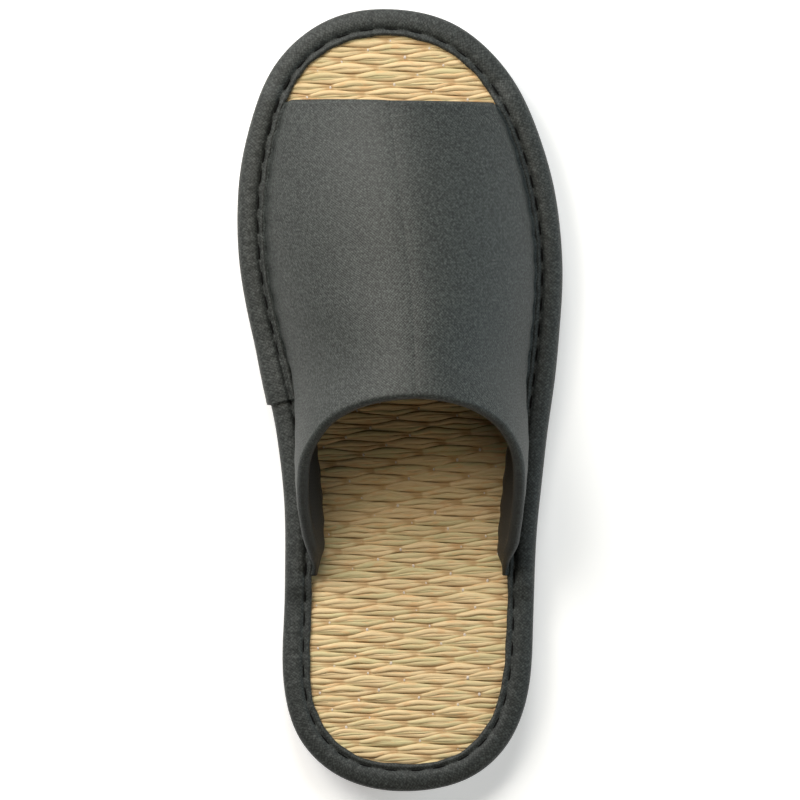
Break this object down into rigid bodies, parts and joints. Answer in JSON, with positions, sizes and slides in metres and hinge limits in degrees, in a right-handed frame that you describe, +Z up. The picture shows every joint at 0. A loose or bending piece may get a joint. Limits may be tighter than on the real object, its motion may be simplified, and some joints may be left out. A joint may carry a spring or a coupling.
{
  "type": "house slipper",
  "caption": "Open-toe backless house slipper with a woven rush footbed, a padded dark linen band over the instep, a taped edge and a plain flat sole.",
  "frame": {"origin": "on the floor, under the middle of the sole's outline", "axes": "+Z up, +Y from heel to toe, +X to the wearer's right, the outer side of this right slipper"},
  "size_m": [0.1122, 0.2697, 0.064],
  "materials": {
    "sole_sheet": "matt charcoal foam rubber sheet with a fine ribbed tread",
    "woven_rush": "straw-coloured rush stems woven over cotton warp threads, low sheen",
    "dark_linen": "matt charcoal plain-weave linen over soft padding",
    "linen_tape": "matt charcoal linen tape cut on the bias, stitched in dark thread"
  },
  "bodies": {
    "root": {"outsole": "sole_sheet", "insole": "woven_rush", "upper": "dark_linen", "binding": "linen_tape"}
  },
  "joints": []
}
